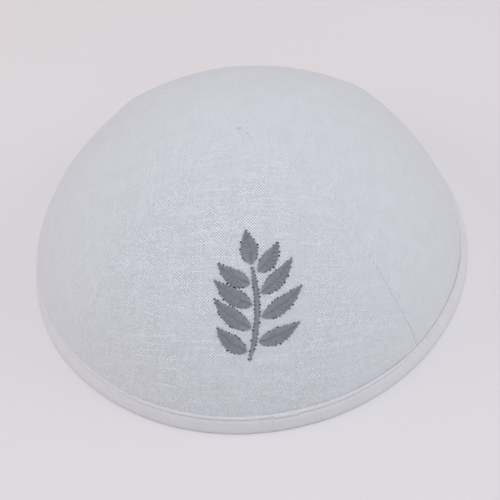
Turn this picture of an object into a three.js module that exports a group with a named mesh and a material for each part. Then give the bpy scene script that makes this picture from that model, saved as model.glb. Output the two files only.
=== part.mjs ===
// A four-gore kippah skullcap: four cloth panels, a folded rim binding and an embroidered sprig.
// Millimetres, +Z up. The origin is the middle of the flat circle that the rim rests on, and the
// front gore faces -Y.
import * as THREE from 'three';

// Crown
const RIM_DIAMETER = 175;
const CAP_HEIGHT = 63;
const EQUATOR_DEPTH = 24; // how far the equator of the crown's curve would lie below the rim
const GORE_FULLNESS = 2.03; // exponent of the curve up the middle of a gore, 2 is an ellipse
const SEAM_FULLNESS = 2.32; // exponent of the fuller curve up a seam
const CLOTH_WALL = 1.2;
const SEAM_GAP = 0.3;

// Rim binding
const BINDING_WALL = 0.9;
const BINDING_CLEARANCE = 0.3; // from the binding to the panels that it wraps
const BINDING_HEIGHT = 7.5;
const BINDING_INNER_HEIGHT = 7;
const BINDING_ROUND = 0.4; // rounding of its folded edges
const STITCH_DROP = 1.3; // from the outer fold down to the stitched groove
const STITCH_DEPTH = 0.3;

// Sprig, measured along the cloth of the front gore
const SPRIG_UP = 29; // from the foot of the rim up to the stem's base
const SPRIG_ACROSS = 3.2; // from the gore's middle to the stem's base, to the wearer's left
const SPRIG_CLEARANCE = 0.3; // from the cloth to the back of the stitching
const STEM_LENGTH = 32;
const STEM_WIDTH = 1.7;
const STEM_LEAN = 1.5;
const STEM_SWAY = 2.2;
const STEM_TAPER = 0.25; // share of the stem over which each of its ends narrows
const LEAF_LENGTH = 16;
const LEAF_WIDTH = 5.8;
const LEAF_BEND = 1.1; // how far a leaf's middle line bows towards the sprig's tip
const LEAF_BELLY = 0.8; // exponent that sets where a leaf is widest, 1 is halfway along
const LEAF_GAP = 0.5; // from the stem's edge to a leaf's base
const PAD_HEIGHT = 0.7; // height of the satin stitch
const PAD_SHOULDER = 0.5; // share of the half width at which it stands at full height
const MIDRIB_HEIGHT = 0.4; // its height along a leaf's midrib

// Leaves from the base up. along and length are shares of STEM_LENGTH and LEAF_LENGTH,
// spread is the angle from the stem in degrees, and side is -1 for left and 1 for right.
const LEAVES = [
  { side: -1, along: 0.10, length: 0.82, spread: 63 },
  { side: 1, along: 0.22, length: 0.92, spread: 61 },
  { side: -1, along: 0.35, length: 1.00, spread: 58 },
  { side: 1, along: 0.47, length: 1.00, spread: 56 },
  { side: -1, along: 0.60, length: 0.96, spread: 54 },
  { side: 1, along: 0.71, length: 0.90, spread: 52 },
  { side: -1, along: 0.83, length: 0.80, spread: 49 },
  { side: 1, along: 0.93, length: 0.70, spread: 46 },
  { side: 0, along: 1.00, length: 0.76, spread: 0 },
];

// Facets
const PANEL_ROWS = 18;
const PANEL_COLUMNS = 20;
const RIM_STEPS = 80;
const ARC_STEPS = 400;
const LEAF_STATIONS = 8;
const STEM_STATIONS = 16;

// Small steps that find the direction of a curve
const ANGLE_STEP = 1e-4;
const LINE_STEP = 0.01;

const QUARTER = Math.PI / 2;
const CROWN_RADIUS = RIM_DIAMETER / 2 - BINDING_WALL - BINDING_CLEARANCE;
const PANEL_FOOT = BINDING_WALL + BINDING_CLEARANCE; // height of the panels' lower edge
const CURVE_HEIGHT = CAP_HEIGHT + EQUATOR_DEPTH;
const RIM_ANGLE = Math.asin(EQUATOR_DEPTH / CURVE_HEIGHT);

// Places on the crown's outer surface. The angle is the curve's own, from RIM_ANGLE at the
// rim to a right angle at the apex, and the bearing is measured about +Z from +X.
function seamShare(bearing) {
  const shifted = bearing + QUARTER / 2;
  const fromMiddle = shifted - QUARTER * Math.floor(shifted / QUARTER) - QUARTER / 2;
  return (1 / Math.cos(fromMiddle) - 1) / (Math.SQRT2 - 1);
}

function crownRadius(bearing, angle) {
  const drawnIn = Math.max(Math.cos(angle) / Math.cos(RIM_ANGLE), 0);
  const gore = drawnIn ** (2 / GORE_FULLNESS);
  const seam = drawnIn ** (2 / SEAM_FULLNESS);
  return CROWN_RADIUS * (gore + (seam - gore) * seamShare(bearing));
}

function crownHeight(angle) {
  return CURVE_HEIGHT * Math.sin(angle) - EQUATOR_DEPTH;
}

function angleAtHeight(height) {
  return Math.asin((height + EQUATOR_DEPTH) / CURVE_HEIGHT);
}

// Radius and height of a place that stands out from the crown by the given distance,
// or lies inside it where the distance is negative
function standOff(bearing, angle, distance) {
  const lower = angle - ANGLE_STEP;
  const upper = Math.min(angle + ANGLE_STEP, QUARTER);
  const run = crownRadius(bearing, upper) - crownRadius(bearing, lower);
  const rise = crownHeight(upper) - crownHeight(lower);
  const length = Math.hypot(run, rise);
  return {
    radius: crownRadius(bearing, angle) + (distance * rise) / length,
    height: crownHeight(angle) - (distance * run) / length,
  };
}

// Radius at a level height of the surface that runs parallel to the crown
function parallelRadius(bearing, height, distance) {
  const angle = angleAtHeight(height);
  const run = crownRadius(bearing, angle + ANGLE_STEP) - crownRadius(bearing, angle);
  const rise = crownHeight(angle + ANGLE_STEP) - crownHeight(angle);
  return crownRadius(bearing, angle) + distance * Math.hypot(1, run / rise);
}

function atBearing(bearing, radius, height) {
  return [radius * Math.cos(bearing), radius * Math.sin(bearing), height];
}

function mesh(name, points, faces, material) {
  const geometry = new THREE.BufferGeometry();
  geometry.setAttribute('position', new THREE.Float32BufferAttribute(points.flat(), 3));
  geometry.setIndex(faces.flat());
  geometry.computeVertexNormals();
  const solid = new THREE.Mesh(geometry, material);
  solid.name = name;
  return solid;
}

function quad(a, b, c, d) {
  return [[a, b, c], [a, c, d]];
}

// One gore: an outer and an inner skin that narrow to a corner at the apex, with flat edges
// that stay half a seam gap off the upright plane of each seam
function panel(name, middle, material) {
  const points = [];
  const rowAngle = (row) => {
    const foot = angleAtHeight(PANEL_FOOT);
    return foot + ((QUARTER - foot) * row) / PANEL_ROWS;
  };
  const place = (row, bearing, depth) => {
    if (row === 0) {
      return { radius: parallelRadius(bearing, PANEL_FOOT, -depth), height: PANEL_FOOT };
    }
    return standOff(bearing, rowAngle(row), -depth);
  };
  for (const depth of [0, CLOTH_WALL]) {
    for (let row = 0; row < PANEL_ROWS; row += 1) {
      const atSeam = place(row, middle + QUARTER / 2, depth).radius;
      const reach = QUARTER / 2 - Math.asin(SEAM_GAP / 2 / atSeam);
      for (let column = 0; column <= PANEL_COLUMNS; column += 1) {
        const bearing = middle + reach * ((2 * column) / PANEL_COLUMNS - 1);
        const { radius, height } = place(row, bearing, depth);
        points.push(atBearing(bearing, radius, height));
      }
    }
  }
  const tipRadius = SEAM_GAP / 2 / Math.sin(QUARTER / 2);
  const outerTip = points.push(atBearing(middle, tipRadius, CAP_HEIGHT)) - 1;
  const innerTip = points.push(atBearing(middle, tipRadius, CAP_HEIGHT - CLOTH_WALL)) - 1;

  const outer = (row, column) => {
    return row === PANEL_ROWS ? outerTip : row * (PANEL_COLUMNS + 1) + column;
  };
  const inner = (row, column) => {
    return row === PANEL_ROWS ? innerTip : (PANEL_ROWS + row) * (PANEL_COLUMNS + 1) + column;
  };
  const faces = [];
  for (let row = 0; row < PANEL_ROWS; row += 1) {
    for (let column = 0; column < PANEL_COLUMNS; column += 1) {
      const next = column + 1;
      faces.push([outer(row, column), outer(row, next), outer(row + 1, next)]);
      faces.push([inner(row, next), inner(row, column), inner(row + 1, column)]);
      if (row < PANEL_ROWS - 1) {
        faces.push([outer(row, column), outer(row + 1, next), outer(row + 1, column)]);
        faces.push([inner(row, next), inner(row + 1, column), inner(row + 1, next)]);
      }
    }
    const last = PANEL_COLUMNS;
    faces.push(...quad(inner(row, 0), outer(row, 0), outer(row + 1, 0), inner(row + 1, 0)));
    faces.push(
      ...quad(outer(row, last), inner(row, last), inner(row + 1, last), outer(row + 1, last)),
    );
  }
  for (let column = 0; column < PANEL_COLUMNS; column += 1) {
    const next = column + 1;
    faces.push(...quad(outer(0, column), inner(0, column), inner(0, next), outer(0, next)));
  }
  return mesh(name, points, faces, material);
}

// The binding's section at one bearing: up the outer face with its stitched groove, over the
// outer fold, down and up round the panels' lower edge, over the inner fold and down inside
function bindingSection(bearing) {
  const outside = BINDING_CLEARANCE + BINDING_WALL;
  const within = -CLOTH_WALL - BINDING_CLEARANCE;
  const inside = within - BINDING_WALL;
  const groove = BINDING_HEIGHT - STITCH_DROP;
  const outerShoulder = BINDING_HEIGHT - BINDING_ROUND;
  const innerShoulder = BINDING_INNER_HEIGHT - BINDING_ROUND;
  const section = [
    [outside - BINDING_ROUND, 0],
    [outside, BINDING_ROUND],
    [outside, groove / 2],
    [outside, groove - STITCH_DEPTH],
    [outside - STITCH_DEPTH, groove],
    [outside, groove + STITCH_DEPTH],
    [outside, outerShoulder],
    [outside - BINDING_WALL / 2, BINDING_HEIGHT],
    [BINDING_CLEARANCE, outerShoulder],
    [BINDING_CLEARANCE, groove / 2],
    [BINDING_CLEARANCE, BINDING_WALL],
    [within, BINDING_WALL],
    [within, innerShoulder / 2],
    [within, innerShoulder],
    [within - BINDING_WALL / 2, BINDING_INNER_HEIGHT],
    [inside, innerShoulder],
    [inside, innerShoulder / 2],
    [inside, BINDING_ROUND],
    [inside + BINDING_ROUND, 0],
  ];
  return section.map(([distance, height]) => {
    return atBearing(bearing, parallelRadius(bearing, height, distance), height);
  });
}

function rimBinding(material) {
  const points = [];
  for (let step = 0; step < RIM_STEPS; step += 1) {
    points.push(...bindingSection((4 * QUARTER * step) / RIM_STEPS));
  }
  const around = points.length / RIM_STEPS;
  const faces = [];
  for (let step = 0; step < RIM_STEPS; step += 1) {
    const ahead = (step + 1) % RIM_STEPS;
    for (let corner = 0; corner < around; corner += 1) {
      const above = (corner + 1) % around;
      faces.push(
        ...quad(
          step * around + corner,
          ahead * around + corner,
          ahead * around + above,
          step * around + above,
        ),
      );
    }
  }
  return mesh('rim_binding', points, faces, material);
}

// Distance up the middle of a gore, from the foot of the rim, at equal steps of the angle
function middleArc() {
  const arc = [0];
  for (let step = 1; step <= ARC_STEPS; step += 1) {
    const lower = RIM_ANGLE + ((QUARTER - RIM_ANGLE) * (step - 1)) / ARC_STEPS;
    const upper = RIM_ANGLE + ((QUARTER - RIM_ANGLE) * step) / ARC_STEPS;
    const run = crownRadius(0, upper) - crownRadius(0, lower);
    const rise = crownHeight(upper) - crownHeight(lower);
    arc.push(arc[step - 1] + Math.hypot(run, rise));
  }
  return arc;
}

const MIDDLE_ARC = middleArc();

function angleAtArc(up) {
  const after = Math.max(MIDDLE_ARC.findIndex((length) => length > up), 1);
  const share = (up - MIDDLE_ARC[after - 1]) / (MIDDLE_ARC[after] - MIDDLE_ARC[after - 1]);
  return RIM_ANGLE + ((QUARTER - RIM_ANGLE) * (after - 1 + share)) / ARC_STEPS;
}

// A place on the front gore, across from its middle and up from the foot of the rim
function onFrontGore(across, up, lift) {
  const angle = angleAtArc(up);
  const bearing = -QUARTER + across / crownRadius(-QUARTER, angle);
  const { radius, height } = standOff(bearing, angle, lift);
  return atBearing(bearing, radius, height);
}

// A low pad of stitching along a middle line on the front gore, pointed at both ends.
// Its shoulders stand at full height, and its middle at middleHeight.
function pad(name, line, halfWidth, stations, middleHeight, material) {
  const points = [];
  const top = SPRIG_CLEARANCE + PAD_HEIGHT;
  const section = [
    [-1, SPRIG_CLEARANCE],
    [-PAD_SHOULDER, top],
    [0, SPRIG_CLEARANCE + middleHeight],
    [PAD_SHOULDER, top],
    [1, SPRIG_CLEARANCE],
    [0, SPRIG_CLEARANCE],
  ];
  const direction = (share) => {
    const before = line(share - LINE_STEP);
    const after = line(share + LINE_STEP);
    const length = Math.hypot(after[0] - before[0], after[1] - before[1]);
    return [(after[0] - before[0]) / length, (after[1] - before[1]) / length];
  };
  for (let station = 1; station < stations; station += 1) {
    const share = station / stations;
    const [across, up] = line(share);
    const [alongAcross, alongUp] = direction(share);
    for (const [side, lift] of section) {
      const reach = side * halfWidth(share);
      points.push(onFrontGore(across + reach * alongUp, up - reach * alongAcross, lift));
    }
  }
  const around = section.length;
  const start = points.push(onFrontGore(...line(0), SPRIG_CLEARANCE)) - 1;
  const end = points.push(onFrontGore(...line(1), SPRIG_CLEARANCE)) - 1;
  const lastRow = (stations - 2) * around;
  const faces = [];
  for (let corner = 0; corner < around; corner += 1) {
    const next = (corner + 1) % around;
    faces.push([start, next, corner]);
    faces.push([end, lastRow + corner, lastRow + next]);
    for (let row = 0; row < lastRow; row += around) {
      faces.push(...quad(row + corner, row + next, row + around + next, row + around + corner));
    }
  }
  return mesh(name, points, faces, material);
}

function stemLine(share) {
  return [
    SPRIG_ACROSS + STEM_LEAN * share + STEM_SWAY * Math.sin(Math.PI * share),
    SPRIG_UP + STEM_LENGTH * share,
  ];
}

function stemHeading(share) {
  return Math.atan2(STEM_LEAN + STEM_SWAY * Math.PI * Math.cos(Math.PI * share), STEM_LENGTH);
}

function stem(material) {
  const halfWidth = (share) => {
    return (STEM_WIDTH / 2) * Math.min(1, share / STEM_TAPER, (1 - share) / STEM_TAPER);
  };
  return pad('sprig_stem', stemLine, halfWidth, STEM_STATIONS, PAD_HEIGHT, material);
}

function leaf(name, { side, along, length, spread }, material) {
  const stemHead = stemHeading(along);
  const heading = stemHead + side * THREE.MathUtils.degToRad(spread);
  const [stemAcross, stemUp] = stemLine(along);
  const off = side * (STEM_WIDTH / 2 + LEAF_GAP);
  const ahead = side === 0 ? LEAF_GAP : 0;
  const baseAcross = stemAcross + off * Math.cos(stemHead) + ahead * Math.sin(stemHead);
  const baseUp = stemUp - off * Math.sin(stemHead) + ahead * Math.cos(stemHead);
  const line = (share) => {
    const forward = LEAF_LENGTH * length * share;
    const bow = -side * LEAF_BEND * 4 * share * (1 - share);
    return [
      baseAcross + forward * Math.sin(heading) - bow * Math.cos(heading),
      baseUp + forward * Math.cos(heading) + bow * Math.sin(heading),
    ];
  };
  const halfWidth = (share) => (LEAF_WIDTH / 2) * Math.sin(Math.PI * share ** LEAF_BELLY);
  return pad(name, line, halfWidth, LEAF_STATIONS, MIDRIB_HEIGHT, material);
}

const linen = new THREE.MeshStandardMaterial({ color: 0xcfd1d9, roughness: 0.95, metalness: 0 });
const bindingLinen = new THREE.MeshStandardMaterial({
  color: 0xd3d2da,
  roughness: 0.92,
  metalness: 0,
});
const thread = new THREE.MeshStandardMaterial({ color: 0x83858f, roughness: 0.6, metalness: 0 });

const group = new THREE.Group();
const PANELS = [
  ['panel_right', 0],
  ['panel_back', QUARTER],
  ['panel_left', 2 * QUARTER],
  ['panel_front', -QUARTER],
];
PANELS.forEach(([name, middle]) => group.add(panel(name, middle, linen)));
group.add(rimBinding(bindingLinen));
group.add(stem(thread));
LEAVES.forEach((row, index) => group.add(leaf(`sprig_leaf_${index + 1}`, row, thread)));

export default group;
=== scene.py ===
"""Dresses a four-gore linen kippah: crown, folded rim binding and an embroidered sprig.

Lengths are metres in the cap's own frame. The cap rests on its rim at z = 0, the front gore
faces -Y and the apex is up.
"""
import math
import random

import bmesh
import bpy
from mathutils import Matrix, Vector, noise


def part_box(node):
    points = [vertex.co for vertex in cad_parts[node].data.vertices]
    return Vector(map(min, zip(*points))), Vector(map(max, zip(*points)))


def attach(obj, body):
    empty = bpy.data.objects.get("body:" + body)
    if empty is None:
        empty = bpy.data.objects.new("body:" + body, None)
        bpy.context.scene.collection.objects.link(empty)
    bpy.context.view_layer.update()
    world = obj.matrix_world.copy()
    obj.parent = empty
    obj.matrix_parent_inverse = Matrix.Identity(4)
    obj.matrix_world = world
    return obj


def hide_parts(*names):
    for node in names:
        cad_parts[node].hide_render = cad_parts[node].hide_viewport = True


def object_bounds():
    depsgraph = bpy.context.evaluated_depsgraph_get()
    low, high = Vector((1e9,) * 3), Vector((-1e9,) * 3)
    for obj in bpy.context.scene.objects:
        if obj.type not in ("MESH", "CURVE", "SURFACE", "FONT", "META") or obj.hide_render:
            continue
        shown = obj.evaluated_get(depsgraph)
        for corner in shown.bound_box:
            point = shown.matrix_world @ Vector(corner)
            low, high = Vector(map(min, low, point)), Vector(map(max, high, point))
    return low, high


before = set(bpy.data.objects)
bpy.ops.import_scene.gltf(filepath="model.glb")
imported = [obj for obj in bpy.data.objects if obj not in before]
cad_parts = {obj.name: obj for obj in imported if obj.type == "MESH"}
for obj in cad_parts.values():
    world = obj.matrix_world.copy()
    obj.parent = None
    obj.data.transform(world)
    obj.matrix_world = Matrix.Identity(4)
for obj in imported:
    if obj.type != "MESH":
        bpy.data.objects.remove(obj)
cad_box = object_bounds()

bl_info = {
    "name": "Linen Kippah",
    "version": (1, 0, 0),
    "blender": (4, 5, 0),
    "location": "View3D > Sidebar > Kippah",
    "description": "Builds a four-gore linen kippah with a bound rim and an embroidered sprig",
    "category": "Add Mesh",
}

MM = 0.001
QUARTER = math.pi / 2
FRONT = -QUARTER
GORES = (
    ("right", 0.0),
    ("back", QUARTER),
    ("left", 2 * QUARTER),
    ("front", FRONT),
)
GRAIN = "grain"  # the UV map of every cloth and thread piece, in millimetres

# Leaves from the base up, as shares of the stem's and the longest leaf's length. spread is the
# angle from the stem in degrees, and side is -1 for left and 1 for right.
LEAVES = (
    {"side": -1, "along": 0.10, "length": 0.82, "spread": 63},
    {"side": 1, "along": 0.22, "length": 0.92, "spread": 61},
    {"side": -1, "along": 0.35, "length": 1.00, "spread": 58},
    {"side": 1, "along": 0.47, "length": 1.00, "spread": 56},
    {"side": -1, "along": 0.60, "length": 0.96, "spread": 54},
    {"side": 1, "along": 0.71, "length": 0.90, "spread": 52},
    {"side": -1, "along": 0.83, "length": 0.80, "spread": 49},
    {"side": 1, "along": 0.93, "length": 0.70, "spread": 46},
    {"side": 0, "along": 1.00, "length": 0.76, "spread": 0},
)

# Mesh density
GORE_ROWS = 120
GORE_COLUMNS = 80
RIM_STEPS = 1500
STRAND_SIDES = 6
STRAND_CUTS = 7
ARC_STEPS = 400
SLOPE_STEP = 1e-4  # the angle over which the crown's slope is taken, in radians

# How the cloth is cut and folded
ROLLED_DOWN = 0.45 * MM  # how far the strip's soft fold lies below its CAD ring's edge
SEAM_ROOM = 0.3 * MM  # what the pressed seams take up inside, beyond the doubled linen
FOLD_ROUND = 0.55 * MM  # height of the outer fold's round top
GROOVE_HALF = 0.45 * MM  # half the height of the groove that the stitching pulls in
CREASE_WIDTH = 0.4 * MM

# How the thread lies
LEAF_SLANT = 1.4 * MM  # how much nearer the tip a satin stitch ends than it starts
BUNCH_SPREAD = 0.8  # the width of a bunch of stitches at its needle hole as a share of its own
HOLES_FILLED = 0.15  # the share of the needle holes that the thread fills
STITCH_SUNK = 0.18 * MM  # how deep a satin stitch's end lies in the cloth
SLUBS = 26  # how many threads of the front gore show a thick place

# Two places of the foot that are moved: their bearing and reach in degrees, and the heights
# between which the move fades
TUCK = {"bearing": -174, "reach": 20, "heights": (2 * MM, 9 * MM)}
FLARE = {"bearing": -45, "reach": 24, "heights": (10 * MM, 36 * MM)}

# The crown's uneven form: the sizes of its broad and fine swells, how deep the fine ones are
# beside the broad, how far up the binding holds the cloth, and how much still moves at the rim
BROAD_SWELLS = 46 * MM
FINE_SWELLS = 15 * MM
FINE_SHARE = 0.22
HELD_UP_TO = 14 * MM
RIM_SHARE = 0.35

# How sharply the gores' seams show: their strength behind, how much less it is in front, and
# how much more on the sharp stretches, which are low down in front and at the apex
SEAM_BEHIND = 0.42
SEAM_LESS_IN_FRONT = 0.32
SEAM_SHARPER = 1.4
SEAM_FADES = (32 * MM, 52 * MM)
SEAM_APEX = (62.2 * MM, 62.8 * MM)
SEAM_APEX_SHARE = 0.7
SEAM_LEFT_SHARE = 0.45
SEAM_PATCH = 9 * MM

# The stretch of the binding past its lap that is ironed to a sharp edge, in degrees past the
# lap. Its groove is partly filled, its fold a little fuller, and its edge stands off by a gap.
CRISP = {"starts": (12, 34), "ends": (64, 84), "fills": 0.55, "fuller": 0.1, "gap": 0.27 * MM}

# The weave. The shades are shares of the cloth's colour. The crest shade is painted shade in the
# gaps between the threads, and the crossing shade is painted light and shade that makes a crossing
# with the warp on top differ from one with the weft on top. The chance and streak shades are the
# threads' own tone. All are full near a place low on the front, seen from above, and fall off
# between two reaches to their share at the sides and back.
WEAVE_SHARE_BEHIND = 0.24
FRONT_MIDDLE = (-4 * MM, -68 * MM)
FRONT_REACH = (34 * MM, 76 * MM)
CREST_PAINTED_SHADE = 0.13
CROSSING_PAINTED_LIGHT = (0.08, 0.54)
CHANCE_SHADE = 0.075
STREAK_SHADE = 0.08
WEAVE_RELIEF = 0.09 * MM

# Where the soft crown lies in or stands out, in degrees and millimetres
HOLLOWS = (
    {"bearing": 144, "height": 33, "reach": 26, "out": -0.9},
    {"bearing": -172, "height": 6, "reach": 28, "out": 0.7},
)

# The round of the strip's foot, as distances in from its outside and up from the floor
FOOT_ROUND = ((0.95 * MM, 0.0), (0.5 * MM, 0.14 * MM), (0.16 * MM, 0.6 * MM), (-0.03 * MM, 1.3 * MM))

# Upright creases and one ridge of the strip, as distances from its lapped end and depths
CREASES = (
    {"along": -5.2 * MM, "depth": 0.07 * MM},
    {"along": -0.6 * MM, "depth": 0.28 * MM},
    {"along": 0.4 * MM, "depth": -0.2 * MM},
    {"along": 1.3 * MM, "depth": 0.2 * MM},
    {"along": 4.4 * MM, "depth": 0.08 * MM},
    {"along": 19 * MM, "depth": 0.05 * MM},
)


def length_setting(name, description, default):
    return bpy.props.FloatProperty(
        name=name, description=description, default=default, unit="LENGTH", precision=5
    )


def number_setting(name, description, default):
    return bpy.props.FloatProperty(name=name, description=description, default=default)


def angle_setting(name, description, degrees):
    return bpy.props.FloatProperty(
        name=name, description=description, default=math.radians(degrees), subtype="ANGLE"
    )


def colour_setting(name, description, default):
    return bpy.props.FloatVectorProperty(
        name=name, description=description, default=default, subtype="COLOR", size=3, min=0, max=1
    )


class KippahShape(bpy.types.PropertyGroup):
    """The crown's form"""

    rim_radius: length_setting(
        "Rim radius", "From the middle to the outside of the binding", cad_box[1][0]
    )
    height: length_setting("Height", "From the floor to the apex", cad_box[1][2])
    equator_depth: length_setting(
        "Equator depth", "How far the crown curve's equator lies below the rim", 24 * MM
    )
    gore_fullness: number_setting("Gore fullness", "Exponent up the middle of a gore", 2.03)
    seam_fullness: number_setting("Seam fullness", "Exponent up a seam", 2.32)
    lean_right: length_setting("Lean right", "How far the apex leans to +X", 2.0 * MM)
    lean_back: length_setting("Lean back", "How far the apex leans to +Y", -1.9 * MM)
    softness: length_setting("Softness", "Depth of the cloth's shallow hollows", 0.45 * MM)
    tuck: length_setting("Tuck", "How far the rim is tucked in on the left", 1.9 * MM)
    seam_flare: length_setting("Seam flare", "How far the front right seam's foot turns aside", 2.2 * MM)
    cloth: length_setting("Cloth", "Thickness of the doubled linen", 0.9 * MM)
    seam_allowance: length_setting("Seam allowance", "Width pressed open inside a seam", 7 * MM)
    seam_roll: length_setting("Seam roll", "Width over which the cloth turns down to a seam", 0.5 * MM)
    seam_depth: length_setting("Seam depth", "How deep a seam lies", 0.27 * MM)
    seam_pucker: length_setting("Seam pucker", "Depth of the puckers along a seam", 0.03 * MM)
    seam_stitch: length_setting("Seam stitch", "Pitch of the puckers along a seam", 2.6 * MM)


class KippahBinding(bpy.types.PropertyGroup):
    """The folded strip round the rim"""

    height: length_setting(
        "Height", "Height of the outer fold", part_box("rim_binding")[1][2] - ROLLED_DOWN
    )
    inner_height: length_setting("Inner height", "Height of the inner fold", 6.6 * MM)
    wall: length_setting("Wall", "Thickness of one side of the folded strip", 0.9 * MM)
    clearance: length_setting("Clearance", "From the gores to where the strip's wall starts", 0.3 * MM)
    fold: length_setting("Fold", "How far the outer fold stands off the crown in front", 0.9 * MM)
    pressed: length_setting("Pressed", "How far the strip presses into the gores' cloth", 0.12 * MM)
    stitch_drop: length_setting("Stitch drop", "From the outer fold to the stitching", 1.3 * MM)
    stitch_depth: length_setting("Stitch depth", "How deep the stitching pulls in", 0.34 * MM)
    stitch_pitch: length_setting("Stitch pitch", "From one stitch to the next", 2.5 * MM)
    stitch_thread: length_setting("Stitch thread", "Thickness of the sewing thread", 0.26 * MM)
    lap_bearing: angle_setting("Lap bearing", "Where the strip's folded end laps over its start", -83)
    lap_length: length_setting("Lap length", "How far the strip laps over itself", 11 * MM)
    lap_step: length_setting("Lap step", "How far the lapped end stands out", 0.22 * MM)


class KippahSprig(bpy.types.PropertyGroup):
    """The embroidered sprig, measured along the cloth of the front gore"""

    up: length_setting("Up", "From the rim up to the stem's base", 29 * MM)
    across: length_setting("Across", "From the gore's middle to the stem's base", 3.2 * MM)
    stem_length: length_setting("Stem length", "From the stem's base to its tip", 32 * MM)
    stem_width: length_setting("Stem width", "Width of the stem", 1.7 * MM)
    stem_lean: length_setting("Stem lean", "How far the tip lies beside the base", 1.5 * MM)
    stem_sway: length_setting("Stem sway", "How far the stem bows to one side", 2.2 * MM)
    leaf_length: length_setting("Leaf length", "Length of the longest leaf", 16 * MM)
    leaf_width: length_setting("Leaf width", "Greatest width of a leaf", 5.8 * MM)
    leaf_bend: length_setting("Leaf bend", "How far a leaf bows towards the tip", 1.1 * MM)
    leaf_gap: length_setting("Leaf gap", "From the stem's edge to a leaf's base", 0.5 * MM)
    pad_height: length_setting("Pad height", "Height of the satin stitch", 0.55 * MM)
    thread: length_setting("Thread", "Thickness of the embroidery thread", 0.4 * MM)
    thread_pitch: length_setting("Thread pitch", "From one satin stitch to the next", 0.42 * MM)
    hole_pitch: length_setting("Hole pitch", "From one needle hole to the next", 1.25 * MM)
    hole_offset: length_setting("Hole offset", "From a shape's edge out to its holes", 0.06 * MM)
    hole_radius: length_setting("Hole radius", "Half the width of a needle hole", 0.27 * MM)


class KippahFinish(bpy.types.PropertyGroup):
    """Colours and weave"""

    linen: colour_setting("Linen", "Colour of the crown's cloth", (0.695, 0.718, 0.793))
    binding: colour_setting("Binding", "Colour of the binding's cloth", (0.737, 0.742, 0.80))
    slub: colour_setting("Slub", "Colour of the cloth's thick threads", (0.80, 0.82, 0.88))
    thread: colour_setting("Thread", "Colour of the embroidery", (0.285, 0.30, 0.355))
    sewing: colour_setting("Sewing thread", "Colour of the stitching", (0.74, 0.74, 0.80))
    # the near-black inside a needle hole is painted shade, for the shadow in the pit
    hole: colour_setting("Needle hole", "Colour inside a needle hole", (0.035, 0.037, 0.05))
    floor: colour_setting("Floor", "Colour of the surface below", (0.818, 0.790, 0.828))
    weave: length_setting("Weave", "Pitch of the linen's threads", 0.5 * MM)


class KippahStage(bpy.types.PropertyGroup):
    """The camera, the floor and the light"""

    distance: length_setting("Distance", "From the camera to what it looks at", 316.7 * MM)
    elevation: angle_setting("Elevation", "The camera's angle above the horizon", 50.72)
    azimuth: angle_setting("Azimuth", "The camera's angle round the cap from the front", 5.94)
    roll: angle_setting("Roll", "The camera's turn about its own line of sight", -6.92)
    look_at: bpy.props.FloatVectorProperty(
        name="Look at",
        description="The point in the middle of the view",
        default=(2.76 * MM, -21.98 * MM, 20 * MM),
        subtype="TRANSLATION",
        size=3,
    )
    lens: bpy.props.FloatProperty(
        name="Lens", description="Focal length on a 36 mm frame", default=61.2, unit="CAMERA"
    )
    sky: colour_setting("Sky", "Strength of the even light from all round", (0.565, 0.488, 0.427))
    overhead: number_setting("Overhead", "Power of the wide light overhead, in watts", 10.2)
    beside: number_setting("Beside", "Power of the light on each side, in watts", 3.3)


def settings():
    return bpy.context.scene


def smooth_step(low, high, value):
    """Nothing below low, one above high and a smooth rise between them"""
    share = min(max((value - low) / (high - low), 0.0), 1.0)
    return share * share * (3 - 2 * share)


def fade(low, high, value):
    """One below low and nothing above high"""
    return 1 - smooth_step(low, high, value)


def bell(off, width):
    """One in the middle and less on both sides of it"""
    return math.exp(-((off / width) ** 2))


def degrees_from(bearing, middle):
    """The angle in degrees to a bearing from a middle one, which is in degrees"""
    return (math.degrees(bearing) - middle + 180) % 360 - 180


def turn_from(bearing, start):
    """The angle from start round to bearing, from 0 to a full turn"""
    return (bearing - start) % (4 * QUARTER)


def round_about(bearing, radius, height):
    """A point at a bearing and radius about the cap's axis"""
    return Vector((radius * math.cos(bearing), radius * math.sin(bearing), height))


# Form of the crown. The angle is the curve's own, from rim_angle at the rim to a right angle
# at the apex, and the bearing is measured about +Z from +X.


def seam_share(bearing):
    """Nought up the middle of a gore and one at its seams"""
    from_middle = (bearing + QUARTER / 2) % QUARTER - QUARTER / 2
    return (1 / math.cos(from_middle) - 1) / (math.sqrt(2) - 1)


def foot_share(point, place):
    """One at a place of the foot and less round it and above it"""
    off = degrees_from(math.atan2(point.y, point.x), place["bearing"])
    return bell(off, place["reach"]) * fade(*place["heights"], point.z)


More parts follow.
